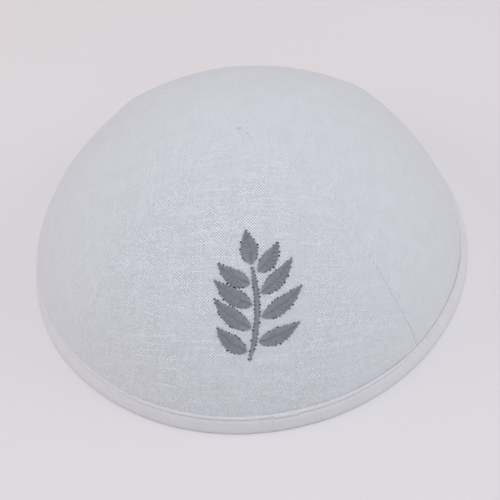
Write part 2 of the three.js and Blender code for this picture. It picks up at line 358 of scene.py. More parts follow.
class Crown:
    """The crown's surface with its sizes looked up once"""

    def __init__(self):
        shape, binding = settings().kippah_shape, settings().kippah_binding
        self.shape = shape
        self.radius = shape.rim_radius - binding.wall - binding.clearance
        self.curve = shape.height + shape.equator_depth
        self.depth = shape.equator_depth
        self.rim_angle = math.asin(self.depth / self.curve)
        self.gore_power = 2 / shape.gore_fullness
        self.seam_power = 2 / shape.seam_fullness
        self.lean = Vector((shape.lean_right, shape.lean_back, 0.0))
        self.softness = shape.softness
        self.height = shape.height
        self.hollows = [self.hollow(row) for row in HOLLOWS]
        self.arc = [0.0]
        for step in range(ARC_STEPS):
            lower = self.section(0.0, self.angle_of_step(step))
            upper = self.section(0.0, self.angle_of_step(step + 1))
            self.arc.append(self.arc[-1] + math.dist(lower, upper))

    def angle_of_step(self, step):
        return self.rim_angle + (QUARTER - self.rim_angle) * step / ARC_STEPS

    def angle_at_height(self, height):
        return math.asin((height + self.depth) / self.curve)

    def section(self, bearing, angle):
        """Radius and height of a place on the crown"""
        drawn_in = max(math.cos(angle) / math.cos(self.rim_angle), 0.0)
        gore = drawn_in**self.gore_power
        seam = drawn_in**self.seam_power
        radius = self.radius * (gore + (seam - gore) * seam_share(bearing))
        return radius, self.curve * math.sin(angle) - self.depth

    def stand_off(self, bearing, angle, lift):
        """Radius and height of a place that stands that far out from the crown"""
        radius, height = self.section(bearing, angle)
        low = self.section(bearing, angle - SLOPE_STEP)
        high = self.section(bearing, min(angle + SLOPE_STEP, QUARTER))
        run, rise = high[0] - low[0], high[1] - low[1]
        length = math.hypot(run, rise)
        return radius + lift * rise / length, height - lift * run / length

    def parallel_radius(self, bearing, height, lift):
        """Radius at a level height of the surface that runs parallel to the crown"""
        angle = self.angle_at_height(height)
        low = self.section(bearing, angle)
        high = self.section(bearing, angle + SLOPE_STEP)
        return low[0] + lift * math.hypot(1.0, (high[0] - low[0]) / (high[1] - low[1]))

    def settle(self, point):
        """Leans and softens the ideal form, the same for every piece at that place"""
        share = min(max(point.z / self.height, 0.0), 1.2)
        outward = (point + Vector((0, 0, self.depth))).normalized()
        broad = noise.noise(point / BROAD_SWELLS + Vector((3.1, 7.7, 1.3)))
        fine = noise.noise(point / FINE_SWELLS + Vector((9.4, 2.6, 5.8)))
        depth = self.softness * (broad + FINE_SHARE * fine)
        free = min(max(point.z / HELD_UP_TO, 0.0), 1.0)
        outward.z *= free
        moved = outward * depth * (RIM_SHARE + (1 - RIM_SHARE) * free)
        for middle, reach, out in self.hollows:
            near = math.exp(-((point - middle).length_squared) / (reach * reach))
            moved += outward * out * near
        moved -= outward * self.shape.tuck * foot_share(point, TUCK)
        flare = self.shape.seam_flare / self.radius * foot_share(point, FLARE)
        turned = Matrix.Rotation(flare, 3, "Z") @ point
        return turned + self.lean * share * share + moved

    def hollow(self, row):
        """The middle, reach and depth of one hollow or swell of the crown"""
        bearing = math.radians(row["bearing"])
        section = self.section(bearing, self.angle_at_height(row["height"] * MM))
        return round_about(bearing, *section), row["reach"] * MM, row["out"] * MM

    def place(self, bearing, radius, height):
        return self.settle(round_about(bearing, radius, height))

    def angle_at_arc(self, up):
        after = next(i for i, length in enumerate(self.arc) if length > up)
        span = self.arc[after] - self.arc[after - 1]
        return self.angle_of_step(after - 1 + (up - self.arc[after - 1]) / span)

    def on_front(self, across, up, lift):
        """A place on the front gore, across from its middle and up from the rim"""
        angle = self.angle_at_arc(up)
        bearing = FRONT + across / self.section(FRONT, angle)[0]
        return self.place(bearing, *self.stand_off(bearing, angle, lift))

    def grain(self, point, middle):
        """Millimetres across and up the flat cloth of the gore that faces that bearing"""
        turned = Matrix.Rotation(FRONT - middle, 3, "Z") @ point
        turned.z += self.depth
        distance = turned.length
        across = distance * math.asin(max(-1.0, min(1.0, turned.x / distance)))
        up = distance * math.atan2(turned.z, -turned.y)
        return across / MM, up / MM


def mesh_from(bm, name):
    mesh = bpy.data.meshes.new(name)
    bm.to_mesh(mesh)
    bm.free()
    return mesh


def add_object(name, data):
    item = bpy.data.objects.new(name, data)
    bpy.context.scene.collection.objects.link(item)
    return item


def finish_piece(bm, name, material, nodes=()):
    """Makes the piece's object at the origin, hangs it under the root body and hides the CAD parts it
    replaces
    """
    for face in bm.faces:
        face.smooth = True
    mesh = mesh_from(bm, name)
    mesh.materials.append(material)
    piece = add_object(name, mesh)
    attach(piece, "root")
    if nodes:
        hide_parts(*nodes)
    return piece


# Crown gores


def rolled_edge(shape, distance):
    """How far the cloth drops at a distance from its seam"""
    if distance >= shape.seam_roll:
        return 0.0
    near = 1 - distance / shape.seam_roll
    return shape.seam_depth * (1 - math.sqrt(max(1 - near * near, 0.0)))


def seam_strength(bearing, height):
    """How sharply a seam shows: most low down on the front right, least high on the front"""
    forward = max(-math.sin(bearing), 0.0)
    rightward = smooth_step(-0.2, 0.5, math.cos(bearing))
    patch = noise.noise(Vector((height / SEAM_PATCH, 4 * bearing, 2.7)))
    low = fade(*SEAM_FADES, height) * (SEAM_LEFT_SHARE + (1 - SEAM_LEFT_SHARE) * rightward)
    top = SEAM_APEX_SHARE * smooth_step(*SEAM_APEX, height) * rightward
    sharp = low * (0.8 + 0.6 * patch) + top
    return SEAM_BEHIND - SEAM_LESS_IN_FRONT * forward + SEAM_SHARPER * forward * sharp


def outer_lift(shape, distance, along):
    """How far a gore's outside stands out near its seam: it lies over the pressed allowance,
    swells beside the seam and puckers between the stitches"""
    allowance = shape.seam_allowance
    over = 0.16 * MM * fade(0.75 * allowance, 1.1 * allowance, distance)
    swell = 0.14 * MM * bell(distance - 0.9 * MM, 0.5 * MM)
    wave = 0.5 + 0.5 * math.cos(2 * math.pi * along / shape.seam_stitch)
    pucker = shape.seam_pucker * wave * math.exp(-distance / (1.1 * MM))
    return over + swell - pucker - rolled_edge(shape, distance)


def inner_lift(shape, distance, along):
    """How far a gore's inside lies within its outside, with the allowance as a second ply"""
    allowance = shape.seam_allowance
    ply = 0.45 * MM * fade(0.93 * allowance, 1.02 * allowance, distance)
    wave = 0.06 * math.sin(2 * math.pi * along / (11 * MM))
    return -shape.cloth - ply * (1 + wave) + 0.5 * rolled_edge(shape, distance)


def make_gore(crown, side, middle, material):
    """One gore as a closed shell: two sheets shaped from a grid, joined round their edges"""
    shape = crown.shape
    foot = crown_foot()
    foot_angle = crown.angle_at_height(foot)
    bm = bmesh.new()
    bmesh.ops.create_grid(bm, x_segments=GORE_COLUMNS, y_segments=GORE_ROWS, size=1.0)
    inner = bmesh.ops.duplicate(bm, geom=bm.verts[:] + bm.edges[:] + bm.faces[:])["geom"]
    inner_faces = [item for item in inner if isinstance(item, bmesh.types.BMFace)]
    inner_verts = {item for item in inner if isinstance(item, bmesh.types.BMVert)}
    bmesh.ops.reverse_faces(bm, faces=inner_faces)
    bmesh.ops.translate(bm, verts=list(inner_verts), vec=(0, 0, -0.1))
    bmesh.ops.bridge_loops(bm, edges=[edge for edge in bm.edges if edge.is_boundary])
    uv = bm.loops.layers.uv.new(GRAIN)
    tips = {True: [], False: []}
    flat = {}
    for vert in bm.verts:
        inside = vert in inner_verts
        side_share, up_share = vert.co.x, (vert.co.y + 1) / 2
        if up_share > 1 - 1e-6:
            tips[inside].append(vert)
        angle = foot_angle + (QUARTER - foot_angle) * up_share
        across = math.copysign(1 - (1 - abs(side_share)) ** 2, side_share)
        bearing = middle + across * QUARTER / 2
        radius, height = crown.section(bearing, angle)
        distance = radius * math.sin(QUARTER / 2 * (1 - abs(across)))
        along = crown.arc[-1] * up_share
        if inside:
            lift = inner_lift(shape, distance, along)
        else:
            lift = outer_lift(shape, distance, along) * seam_strength(bearing, height)
        if up_share < 1e-6:
            radius = crown.parallel_radius(bearing, foot, lift)
        else:
            radius, height = crown.stand_off(bearing, angle, lift)
        ideal = round_about(bearing, radius, height)
        flat[vert] = crown.grain(ideal, middle)
        vert.co = crown.settle(ideal)
    for face in bm.faces:
        for loop in face.loops:
            loop[uv].uv = flat[loop.vert]
    for verts in tips.values():
        bmesh.ops.remove_doubles(bm, verts=verts, dist=0.5 * MM)
    bmesh.ops.dissolve_degenerate(bm, edges=bm.edges[:], dist=1e-8)
    piece = finish_piece(bm, f"gore_{side}", material, (f"panel_{side}",))
    return piece


def crown_foot():
    """Height of the gores' lower edge, inside the fold of the binding"""
    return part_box("panel_front")[0][2]


# Rim binding


def fold_points(middle, level, across, up):
    """The round top of a fold, from its outer side over to its inner side"""
    turns = [math.pi * step / 6 for step in range(7)]
    return [(middle + across * math.cos(turn), level + up * math.sin(turn)) for turn in turns]


def groove_points(distance, level, half_height, depth):
    """A stitched groove from its lower to its upper edge"""
    shares = (-1.0, -0.6, -0.25, 0.0, 0.25, 0.6, 1.0)
    return [
        (distance - depth * (1 - share * share) ** 2, level + share * half_height)
        for share in shares
    ]


def binding_section(binding, cloth):
    """The strip's section from the foot up the outside, over both folds and down the inside,
    as distances from the crown's surface and heights"""
    wall, pressed = binding.wall, binding.pressed
    outside = binding.clearance + wall
    within = inner_distance(binding, cloth) + wall
    inside = within - wall
    top, inner_top = binding.height, binding.inner_height
    groove = top - binding.stitch_drop
    points = [(outside - inward, height) for inward, height in FOOT_ROUND]
    steps, bulge, rounded = 6, 0.05 * MM, FOOT_ROUND[-1][1]
    for step in range(1, steps):
        share = step / steps
        height = rounded + (groove - rounded) * share
        points.append((outside + bulge - (outside - binding.fold) * share**2, height))
    points += groove_points(binding.fold, groove, GROOVE_HALF, binding.stitch_depth)
    half_fold = (binding.fold + pressed) / 2
    points += fold_points(binding.fold - half_fold, top - FOLD_ROUND, half_fold, FOLD_ROUND)
    points += [(-pressed, groove), (-pressed, top / 3), (-pressed, wall)]
    points += [(within, wall), (within, inner_top / 2)]
    points += fold_points(within - wall / 2, inner_top - wall / 2, wall / 2, wall / 2)
    inner_groove = inner_top - binding.stitch_drop
    points += reversed(groove_points(inside, inner_groove, GROOVE_HALF, -0.7 * binding.stitch_depth))
    points += [(inside, inner_top / 3), (inside, 0.6 * MM), (inside + 0.5 * MM, 0.0)]
    return points


def inner_distance(binding, cloth):
    """Where the strip's inner side lies, as a distance from the crown's outer surface"""
    return -cloth - SEAM_ROOM - binding.clearance - binding.wall


def crisp_share(binding, bearing):
    """One on the front right, past the lap, where the fold is ironed to a sharp edge"""
    past = math.degrees(turn_from(bearing, binding.lap_bearing))
    return smooth_step(*CRISP["starts"], past) * fade(*CRISP["ends"], past)


def fold_fullness(binding, bearing):
    """How round the outer fold is: full in front, pressed nearly flat elsewhere"""
    past = math.degrees(turn_from(bearing, binding.lap_bearing))
    front = bell(degrees_from(bearing, math.degrees(FRONT)), 42)
    thick = smooth_step(0.0, 0.6, past) * fade(22, 40, past)
    return 0.3 + 0.6 * front + 0.2 * thick + CRISP["fuller"] * crisp_share(binding, bearing)


def lap_lift(binding, along):
    """How far the strip stands out near its lapped end, at a distance past the end"""
    rise = smooth_step(-0.2 * MM, 0.2 * MM, along)
    lift = binding.lap_step * rise * fade(0.6, 1.0, along / binding.lap_length)
    for crease in CREASES:
        lift -= crease["depth"] * bell(along - crease["along"], CREASE_WIDTH)
    return lift


def sewn_in(binding, bearing, along, height):
    """How far the strip's outside moves: it ripples slowly and finely, dips at each stitch, and
    fills its groove where the fold is crisp"""
    off_groove = height - (binding.height - binding.stitch_drop)
    ripple = noise.noise(Vector((along / (9 * MM), height / (6 * MM), 0.5)))
    slow = noise.noise(Vector((along / (31 * MM), 4.2, height / (20 * MM))))
    dip = bell(off_groove, 0.8 * MM) * math.cos(2 * math.pi * along / binding.stitch_pitch)
    level = min(abs(off_groove) / GROOVE_HALF, 1.0)
    filled = CRISP["fills"] * crisp_share(binding, bearing) * binding.stitch_depth
    return (0.08 * ripple + 0.10 * slow - 0.06 * dip) * MM + filled * (1 - level * level) ** 2


def edge_gap(binding, bearing, distance, height):
    """How far the inner side of the crisp edge stands off the crown"""
    edge = smooth_step(binding.height - 0.7 * MM, binding.height - 0.1 * MM, height)
    behind = fade(0.0, 0.4 * MM, distance)
    narrowing = 1 - 0.55 * smooth_step(0.5, 0.95, turn_from(bearing, binding.lap_bearing))
    return CRISP["gap"] * crisp_share(binding, bearing) * edge * behind * narrowing


def strip_distance(binding, bearing, distance, height, radius):
    """Where a place of the strip's outer side lies, once it is pressed, lapped and sewn"""
    turn = turn_from(bearing, binding.lap_bearing)
    along = (turn if turn < math.pi else turn - 2 * math.pi) * radius
    outer = smooth_step(0.0, 0.5 * binding.fold, distance)
    above = smooth_step(0.3 * binding.height, 0.9 * binding.height, height)
    off_floor = smooth_step(0.6 * MM, 2.2 * MM, height)
    distance *= 1 - outer * above * (1 - fold_fullness(binding, bearing))
    moved = sewn_in(binding, bearing, along, height) + off_floor * lap_lift(binding, along)
    return distance + edge_gap(binding, bearing, distance, height) + outer * moved


def strip_height(binding, bearing, distance, height):
    """The upper edge of the strip runs a little unevenly, and closes on the crown where flat"""
    above = smooth_step(0.7 * binding.height, binding.height, height)
    behind = fade(0.0, 0.5 * binding.fold, distance)
    top = smooth_step(binding.height - 0.8 * MM, binding.height - 0.5 * MM, height)
    close = max(1 - fold_fullness(binding, bearing), 0.0) * (1 - crisp_share(binding, bearing))
    circle = round_about(bearing, 1.0, 0.0)
    uneven = noise.noise(circle * 3.0) + 0.5 * noise.noise(circle * 10.0)
    return height + 0.5 * MM * behind * top * close + above * 0.2 * MM * uneven


def make_binding(crown, material):
    """The strip's section spun round the rim, then pressed, lapped and sewn"""
    binding = settings().kippah_binding
    radius = crown.radius
    section = binding_section(binding, crown.shape.cloth)
    bm = bmesh.new()
    wire = [bm.verts.new((radius + distance, 0.0, height)) for distance, height in section]
    edges = [bm.edges.new((wire[i - 1], wire[i])) for i in range(len(wire))]
    turn = {"axis": (0, 0, 1), "angle": 4 * QUARTER, "steps": RIM_STEPS, "use_merge": True}
    bmesh.ops.spin(bm, geom=wire + edges, cent=(0, 0, 0), **turn)
    bmesh.ops.recalc_face_normals(bm, faces=bm.faces[:])
    uv = bm.loops.layers.uv.new(GRAIN)
    on_bias = math.cos(QUARTER / 2) / MM  # the strip is cut slanting, at half a right angle
    for face in bm.faces:
        centre = face.calc_center_median()
        middle = math.atan2(centre.y, centre.x)
        for loop in face.loops:
            spot = loop.vert.co
            off = (math.atan2(spot.y, spot.x) - middle + math.pi) % (2 * math.pi) - math.pi
            along = (middle + off) * radius
            side = spot.z + (math.hypot(spot.x, spot.y) - radius) * 0.5
            loop[uv].uv = ((along + side) * on_bias, (along - side) * on_bias)
    for vert in bm.verts:
        bearing = math.atan2(vert.co.y, vert.co.x)
        plain = math.hypot(vert.co.x, vert.co.y) - radius
        distance = strip_distance(binding, bearing, plain, vert.co.z, radius)
        height = strip_height(binding, bearing, plain, vert.co.z)
        vert.co = crown.place(bearing, crown.parallel_radius(bearing, height, distance), height)
    piece = finish_piece(bm, "binding_strip", material, ("rim_binding",))
    return piece


# Stitches


def bead_template(sides, rings):
    """A unit ball, for stitches and holes that are repeated many times"""
    bm = bmesh.new()
    bmesh.ops.create_uvsphere(bm, u_segments=sides, v_segments=rings, radius=1.0)
    return mesh_from(bm, "bead_template")


def add_copy(bm, template):
    """Adds the template's shape and returns its points"""
    before = len(bm.verts)
    bm.from_mesh(template)
    bm.verts.ensure_lookup_table()
    return bm.verts[before:]


def make_binding_stitches(crown, material):
    """The two rows of sewing, outside and inside"""
    binding = settings().kippah_binding
    bead = bead_template(6, 6)
    radius = crown.radius
    count = round(4 * QUARTER * radius / binding.stitch_pitch)
    inside = inner_distance(binding, crown.shape.cloth) + 0.5 * binding.stitch_depth
    rows = (
        (binding.height - binding.stitch_drop, binding.fold - 0.75 * binding.stitch_depth),
        (binding.inner_height - binding.stitch_drop, inside),
    )
    half = 0.42 * binding.stitch_pitch / radius
    thick = binding.stitch_thread / 2
    bm = bmesh.new()
    for level, distance in rows:
        for index in range(count):
            middle = binding.lap_bearing + (index + 0.5) * 4 * QUARTER / count
            for vert in add_copy(bm, bead):
                bearing = middle + vert.co.x * half
                height = level + vert.co.z * thick
                out = strip_distance(binding, bearing, distance, height, radius)
                around = crown.parallel_radius(bearing, height, out + vert.co.y * thick)
                vert.co = crown.place(bearing, around, height)
    bpy.data.meshes.remove(bead)
    return finish_piece(bm, "binding_stitches", material)


def strand_template():
    """A straight unit tube along Z, for satin stitches and the padding under them"""
    bm = bmesh.new()
    bmesh.ops.create_cone(
        bm, cap_ends=True, segments=STRAND_SIDES, radius1=1.0, radius2=1.0, depth=1.0
    )
    long_edges = [edge for edge in bm.edges if abs(edge.verts[0].co.z - edge.verts[1].co.z) > 0.5]
    bmesh.ops.subdivide_edges(bm, edges=long_edges, cuts=STRAND_CUTS)
    uv = bm.loops.layers.uv.new(GRAIN)
    for face in bm.faces:
        for loop in face.loops:
            spot = loop.vert.co
            loop[uv].uv = (spot.z + 0.5, math.atan2(spot.y, spot.x) / (4 * QUARTER) + 0.5)
    return mesh_from(bm, "strand_template")


def add_strand(bm, crown, template, line, half_width, half_height):
    """Bends one tube along a line of (across, up, lift) on the front gore"""
    for vert in add_copy(bm, template):
        share = vert.co.z + 0.5
        across, up, lift = line(share)
        ahead, behind = line(min(share + 0.02, 1.0)), line(max(share - 0.02, 0.0))
        run, rise = ahead[0] - behind[0], ahead[1] - behind[1]
        length = math.hypot(run, rise)
        sideways = vert.co.x * half_width(share)
        across += sideways * rise / length
        up -= sideways * run / length
        vert.co = crown.on_front(across, up, lift + vert.co.y * half_height(share))


class Sprig:
    """Middle lines of the stem and leaves, in metres across and up the front gore"""

    def __init__(self):
        self.sizes = settings().kippah_sprig

    def stem(self, share):
        sizes = self.sizes
        across = sizes.across + sizes.stem_lean * share
        return (
            across + sizes.stem_sway * math.sin(math.pi * share),
            sizes.up + sizes.stem_length * share,
        )

    def stem_heading(self, share):
        sizes = self.sizes
        run = sizes.stem_lean + sizes.stem_sway * math.pi * math.cos(math.pi * share)
        return math.atan2(run, sizes.stem_length)

    def stem_half_width(self, share):
        return self.sizes.stem_width / 2 * min(1.0, 0.25 + 4 * share, 0.25 + 4 * (1 - share))

    def leaf(self, row):
        """The middle line of one leaf, as a function of the share along it"""
        sizes = self.sizes
        side = row["side"]
        stem_heading = self.stem_heading(row["along"])
        heading = stem_heading + side * math.radians(row["spread"])
        stem_across, stem_up = self.stem(row["along"])
        off = side * (sizes.stem_width / 2 + sizes.leaf_gap)
        ahead = sizes.leaf_gap if side == 0 else 0.0
        base_across = stem_across + off * math.cos(stem_heading) + ahead * math.sin(stem_heading)
        base_up = stem_up - off * math.sin(stem_heading) + ahead * math.cos(stem_heading)

        def line(share):
            forward = sizes.leaf_length * row["length"] * share
            bow = -side * sizes.leaf_bend * 4 * share * (1 - share)
            return (
                base_across + forward * math.sin(heading) - bow * math.cos(heading),
                base_up + forward * math.cos(heading) + bow * math.sin(heading),
            )

        return line

    def leaf_half_width(self, share):
        return self.sizes.leaf_width / 2 * math.sin(math.pi * min(max(share, 0.0), 1.0) ** 0.8)


def edge_point(line, half_width, share, side):
    """A place on a shape's edge, beside its middle line"""
    share = min(max(share, 0.0), 1.0)
    ahead, behind = line(share + 0.01), line(share - 0.01)
    run, rise = ahead[0] - behind[0], ahead[1] - behind[1]
    length = math.hypot(run, rise)
    across, up = line(share)
    reach = side * half_width(share)
    return across + reach * rise / length, up - reach * run / length


def satin_line(start, end, start_lift, end_lift, crest):
    """A stitch that climbs out of the cloth, runs over the padding and goes down again"""

    def line(share):
        swell = (1 - abs(2 * share - 1) ** 3.2) ** 0.7 if 0 < share < 1 else 0.0
        lift = start_lift + (end_lift - start_lift) * share
        return (
            start[0] + (end[0] - start[0]) * share,
            start[1] + (end[1] - start[1]) * share,
            lift + (crest - lift) * swell,
        )

    return line


def add_stitch(bm, crown, template, line, thread):
    """One satin stitch, flatter than it is wide, and narrower where it enters the cloth"""

    def half_width(share):
        return thread / 2 * (0.72 + 0.28 * math.sin(math.pi * share) ** 0.5)

    add_strand(bm, crown, template, line, half_width, lambda share: 0.8 * half_width(share))


def bunches(sizes, length):
    """How many needle holes an edge of that length has"""
    return max(round(length / sizes.hole_pitch), 2)


def slanted(share, length):
    """Where on a leaf's edge a stitch ends that starts at that share of its midrib"""
    return share + LEAF_SLANT / length * (1 - share)


def bunched_shares(sizes, length, draw):
    """Pairs of places along a leaf, at the midrib and at the edge. The edge ends draw together
    in bunches, because several stitches share a needle hole"""
    count = bunches(sizes, length)
    strands = round(sizes.hole_pitch / sizes.thread_pitch)
    for bunch in range(count):
        for strand in range(strands):
            off = (strand + 0.5) / strands - 0.5
            share = (bunch + 0.5 + off) / count
            drawn = (bunch + 0.5 + BUNCH_SPREAD * off) / count
            yield share, slanted(drawn, length) + draw.uniform(-0.004, 0.004)


def make_leaf(crown, sprig, index, row, template, material, draw):
    """A leaf: flat padding along its middle, and satin stitches from its midrib to each edge"""
    sizes = sprig.sizes
    line = sprig.leaf(row)
    length = sizes.leaf_length * row["length"]
    pad = sizes.pad_height
    bm = bmesh.new()
    padding = 0.42 * pad

    def middle(share):
        return (*line(0.03 + 0.94 * share), padding * 0.5)

    def padding_width(share):
        return max(sprig.leaf_half_width(0.03 + 0.94 * share) - 0.35 * MM, 0.05 * MM)

    add_strand(bm, crown, template, middle, padding_width, lambda share: padding)
    for side in (-1, 1):
        for share, reach in bunched_shares(sizes, length, draw):
            start = edge_point(line, lambda s: 0.12 * MM, share, -side)
            end = edge_point(line, sprig.leaf_half_width, reach, side)
            crest = pad * draw.uniform(0.92, 1.06)
            narrow = min(1.0, math.dist(start, end) / (1.2 * MM))
            stitch = satin_line(start, end, 0.38 * pad, -STITCH_SUNK, crest * (0.55 + 0.45 * narrow))
            add_stitch(bm, crown, template, stitch, sizes.thread * draw.uniform(0.93, 1.07))
    return finish_piece(
        bm, f"stitched_leaf_{index}", material, (f"sprig_leaf_{index}",)
    )


def make_stem(crown, sprig, template, material, draw):
    """The stem: a padding cord under slanting satin stitches from edge to edge"""
    sizes = sprig.sizes
    pad = 0.85 * sizes.pad_height
    padding = 0.4 * pad
    bm = bmesh.new()

    def middle(share):
        return (*sprig.stem(0.02 + 0.96 * share), padding * 0.5)

    def padding_width(share):
        return max(sprig.stem_half_width(share) - 0.3 * MM, 0.05 * MM)

    add_strand(bm, crown, template, middle, padding_width, lambda share: padding)
    count = round(sizes.stem_length / sizes.thread_pitch)
    slant = 0.55 * MM / sizes.stem_length
    for step in range(count + 1):
        share = step / count
        start = edge_point(sprig.stem, sprig.stem_half_width, share - slant, -1)
        end = edge_point(sprig.stem, sprig.stem_half_width, share + slant, 1)
        stitch = satin_line(start, end, -STITCH_SUNK, -STITCH_SUNK, pad * draw.uniform(0.93, 1.05))
        add_stitch(bm, crown, template, stitch, sizes.thread * draw.uniform(0.94, 1.06))
    return finish_piece(bm, "stitched_stem", material, ("sprig_stem",))


def add_bead(bm, crown, bead, across, up, halves, lift):
    """Adds a bead on the front gore, with its half sizes across, up and out"""
    for vert in add_copy(bm, bead):
        spot = vert.co * Vector(halves)
        vert.co = crown.on_front(across + spot.x, up + spot.y, lift + spot.z)


def make_needle_hole_shades(crown, sprig, material, draw):
    """Dark beads where the satin stitches enter the cloth: painted shade for the shadow inside each
    needle hole
    """
    sizes = sprig.sizes
    bead = bead_template(8, 4)
    bm = bmesh.new()
    edges = [(sprig.stem, sprig.stem_half_width, sizes.stem_length, False)]
    for row in LEAVES:
        length = sizes.leaf_length * row["length"]
        edges.append((sprig.leaf(row), sprig.leaf_half_width, length, True))
    for line, half_width, length, slants in edges:
        count = bunches(sizes, length)
        for side in (-1, 1):
            for bunch in range(count):
                share = (bunch + 0.5 + draw.uniform(-0.25, 0.25)) / count
                wide = sizes.hole_radius * draw.uniform(0.5, 1.3)
                out = sizes.hole_offset * draw.uniform(-0.5, 2.5)
                if draw.random() < HOLES_FILLED:
                    continue
                if slants:
                    share = slanted(share, length)
                across, up = edge_point(line, lambda s: half_width(s) + out, share, side)
                add_bead(bm, crown, bead, across, up, (wide, wide, 0.10 * MM), 0.14 * MM)
    bpy.data.meshes.remove(bead)
    return finish_piece(bm, "needle_hole_shades", material)


def make_slubs(crown, material):
    """Thick places of single weft threads on the front gore"""
    draw = random.Random(11)
    bead = bead_template(8, 6)
    bm = bmesh.new()
    for _ in range(SLUBS):
        across, up = draw.uniform(-36, 36) * MM, draw.uniform(16, 92) * MM
        half_length, half_width = draw.uniform(1.5, 5.0) * MM, draw.uniform(0.12, 0.22) * MM
        add_bead(bm, crown, bead, across, up, (half_length, half_width, 0.11 * MM), 0.02 * MM)
    bpy.data.meshes.remove(bead)
    return finish_piece(bm, "weft_slubs", material)


# Materials


def feed(tree, socket, value):
    """Links an input to another node's output, or sets it where the value is plain"""
    if isinstance(value, bpy.types.NodeSocket):
        tree.links.new(value, socket)
    else:
        socket.default_value = value


def add_node(tree, kind, **values):
    """Adds a node. A name with a capital is an input's, and any other is a field of the node"""
    node = tree.nodes.new(kind)
    for name, value in values.items():
        if name[0].isupper():
            feed(tree, node.inputs[name], value)
        else:
            setattr(node, name, value)
    return node


def result(tree, kind, inputs, **fields):
    """The first output of a node that is fed these inputs in their order"""
    node = add_node(tree, kind, **fields)
    for socket, value in zip(node.inputs, inputs):
        feed(tree, socket, value)
    return node.outputs[0]


def calc(tree, operation, *inputs):
    return result(tree, "ShaderNodeMath", inputs, operation=operation)


def combine(tree, x, y):
    return result(tree, "ShaderNodeCombineXYZ", (x, y, 0.0))


def remap(tree, value, low, high, to_low, to_high):
    return result(tree, "ShaderNodeMapRange", (value, low, high, to_low, to_high))


def noise_node(tree, vector, scale, detail=2.0, dimensions="3D"):
    values = {"noise_dimensions": dimensions, "Vector": vector, "Scale": scale, "Detail": detail}
    return add_node(tree, "ShaderNodeTexNoise", **values)


def noise_value(tree, vector, scale, detail=2.0, dimensions="3D"):
    return noise_node(tree, vector, scale, detail, dimensions).outputs["Fac"]


def object_place(tree):
    return add_node(tree, "ShaderNodeTexCoord").outputs["Object"]


def grain_place(tree):
    """Millimetres across and up the flat cloth, or shares along and round a thread"""
    return add_node(tree, "ShaderNodeUVMap", uv_map=GRAIN).outputs[0]


def paint(tree, shader, colour, factor):
    """Gives the shader the colour times a factor that varies over the surface"""
    tint = add_node(tree, "ShaderNodeVectorMath", operation="SCALE", Vector=colour, Scale=factor)
    tree.links.new(tint.outputs[0], shader.inputs["Base Color"])


def emboss(tree, shader, relief, strength, depth):
    """Gives the shader the relief as a bump"""
    bump = add_node(tree, "ShaderNodeBump", Strength=strength, Distance=depth, Height=relief)
    tree.links.new(bump.outputs[0], shader.inputs["Normal"])


def new_material(name, colour, roughness, sheen, specular):
    material = bpy.data.materials.new(name)
    material.use_nodes = True
    material.diffuse_color = (*colour, 1.0)
    tree = material.node_tree
    shader = tree.nodes["Principled BSDF"]
    shader.inputs["Base Color"].default_value = (*colour, 1.0)
    shader.inputs["Roughness"].default_value = roughness
    shader.inputs["Sheen Weight"].default_value = sheen
    shader.inputs["Sheen Roughness"].default_value = 0.5
    shader.inputs["Specular IOR Level"].default_value = specular
    return material, tree, shader


def front_share(tree):
    """One near a place low on the front gore and less at the sides and back, for how strongly the
    weave's painted shade and light, its threads' tone and its relief show
    """
    shift = (-FRONT_MIDDLE[0], -FRONT_MIDDLE[1], 0.0)
    inputs = (object_place(tree), (1.0, 1.0, 0.0), shift)
    off = result(tree, "ShaderNodeVectorMath", inputs, operation="MULTIPLY_ADD")
    reach = add_node(tree, "ShaderNodeVectorMath", operation="LENGTH", Vector=off)
    return remap(tree, reach.outputs["Value"], *FRONT_REACH, 1.0, WEAVE_SHARE_BEHIND)


def thread_body(tree, over, across, up, warp, weft):
    """How full the thread on top is, and where the weft has a slub. over is one where the warp
    is on top, and warp and weft are the numbers of the threads"""
    warp_run = combine(tree, calc(tree, "MULTIPLY", warp, 5.17), calc(tree, "MULTIPLY", up, 0.06))
    weft_run = combine(tree, calc(tree, "MULTIPLY", across, 0.05), calc(tree, "MULTIPLY", weft, 3.37))
    warp_body = noise_value(tree, warp_run, 1.0, 1.0, "2D")
    weft_body = noise_value(tree, weft_run, 1.0, 1.5, "2D")
    warp_share = remap(tree, warp_body, 0.30, 0.72, -0.35, 0.45)
    weft_share = remap(tree, weft_body, 0.30, 0.72, -0.55, 0.75)
    body = add_node(tree, "ShaderNodeMix", Factor=over, A=weft_share, B=warp_share)
    return body.outputs["Result"], remap(tree, weft_body, 0.66, 0.74, 0.0, 1.0)


